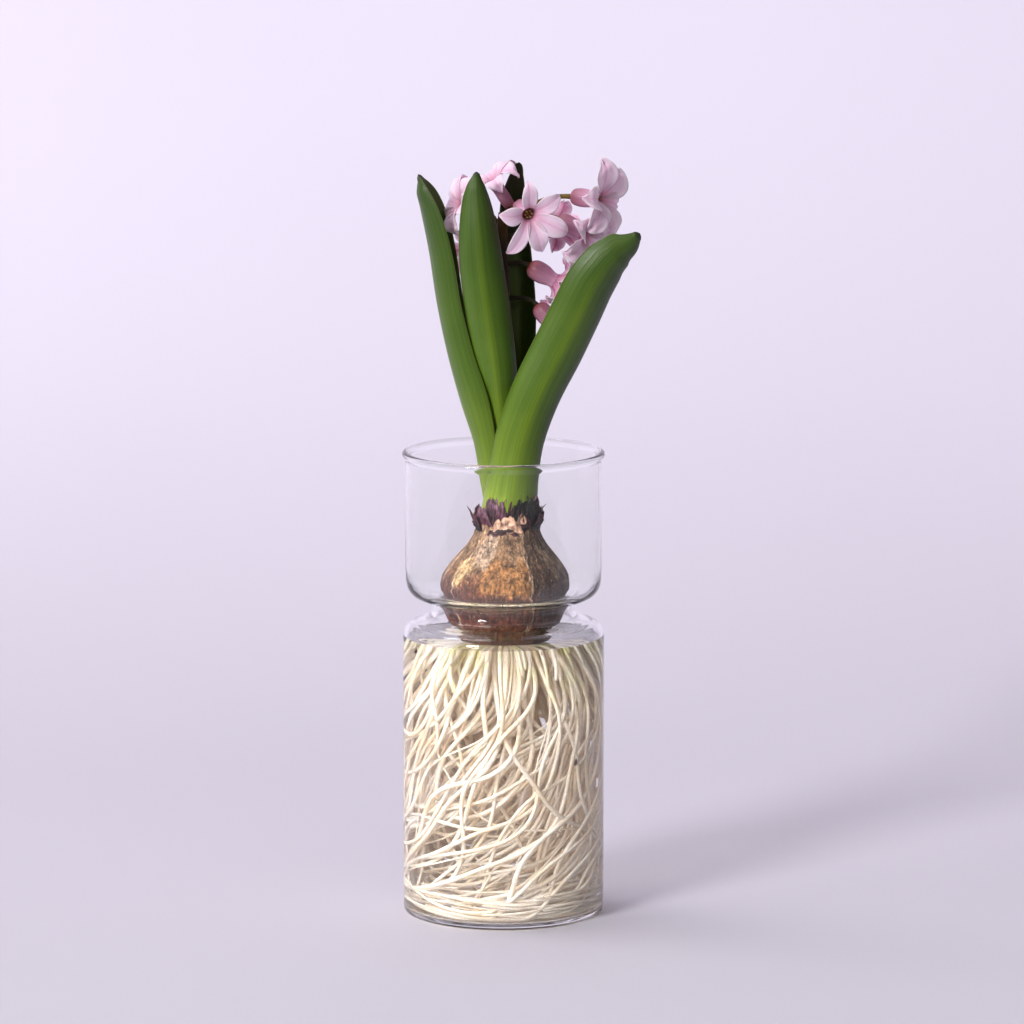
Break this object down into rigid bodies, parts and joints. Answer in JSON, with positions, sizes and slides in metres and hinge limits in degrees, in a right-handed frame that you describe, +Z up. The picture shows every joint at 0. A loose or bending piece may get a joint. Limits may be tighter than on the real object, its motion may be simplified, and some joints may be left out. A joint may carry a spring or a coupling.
{
  "type": "potted bulb flower",
  "caption": "Pink hyacinth in bloom on its bulb, grown on water in a clear waisted glass vase with its roots filling the water.",
  "frame": {"origin": "middle of the vase's flat foot, on the surface it stands on", "axes": "+Z up along the vase's axis; -Y is the side the open front floret looks to; +X is the side the largest leaf leans to"},
  "size_m": [0.1001, 0.0854, 0.3222],
  "materials": {
    "glass": "gloss",
    "water": "gloss",
    "bulb_flesh": "satin",
    "bulb_skin": "matte",
    "basal_plate": "matte",
    "dry_scale": "matte",
    "leaf": "satin",
    "stalk": "satin",
    "petal": "matte",
    "root": "satin",
    "anther": "matte"
  },
  "bodies": {
    "root": {"basal_plate": "basal_plate", "bulb": "bulb_flesh", "collar_scale_1": "dry_scale", "collar_scale_2": "dry_scale", "collar_scale_3": "dry_scale", "collar_scale_4": "dry_scale", "collar_scale_5": "dry_scale", "floret_back": "petal", "floret_back_left": "petal", "floret_back_low": "petal", "floret_front": "petal", "floret_left": "petal", "floret_low": "petal", "floret_lowest": "petal", "floret_right": "petal", "floret_right_low": "petal", "floret_top": "petal", "flower_stalk": "stalk", "glass_vase": "glass", "leaf_back": "leaf", "leaf_left": "leaf", "leaf_middle": "leaf", "leaf_right": "leaf", "root_01": "root", "root_02": "root", "root_03": "root", "root_04": "root", "root_05": "root", "root_06": "root", "root_07": "root", "root_08": "root", "root_09": "root", "root_10": "root", "root_11": "root", "root_12": "root", "root_13": "root", "root_14": "root", "root_15": "root", "root_16": "root", "stamens_back": "anther", "stamens_back_left": "anther", "stamens_back_low": "anther", "stamens_front": "anther", "stamens_left": "anther", "stamens_low": "anther", "stamens_lowest": "anther", "stamens_right": "anther", "stamens_right_low": "anther", "stamens_top": "anther", "tunic_back": "bulb_skin", "tunic_front": "bulb_skin", "tunic_left": "bulb_skin", "tunic_right": "bulb_skin", "water": "water"}
  },
  "joints": []
}
